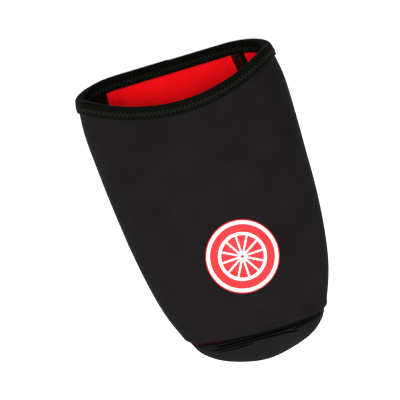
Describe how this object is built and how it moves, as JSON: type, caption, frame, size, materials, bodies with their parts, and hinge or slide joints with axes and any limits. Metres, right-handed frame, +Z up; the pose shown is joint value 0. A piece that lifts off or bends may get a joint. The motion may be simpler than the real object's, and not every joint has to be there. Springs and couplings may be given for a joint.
{
  "type": "cycling toe cover",
  "caption": "Foam rubber toe cover that slips over the front of a cycling shoe, with an open collar and a cleat opening in its sole.",
  "frame": {"origin": "on the floor under the middle of the cover's box", "axes": "+X towards the toe, +Y towards the wearer's left, +Z up"},
  "size_m": [0.173, 0.1126, 0.042],
  "materials": {
    "upper": "matte black knit over foam rubber, red knit lining",
    "toe_panel": "matte grey black knit over foam rubber",
    "sole": "red coated film with small dark dots",
    "binding": "black woven tape with zig-zag stitching",
    "seam_tape": "black tape with overlock thread",
    "badge": "printed red disc with a white wheel"
  },
  "bodies": {
    "root": {"upper": "upper", "toe_panel": "toe_panel", "sole": "sole", "collar_binding": "binding", "inner_seam_tape": "seam_tape", "badge": "badge"}
  },
  "joints": []
}
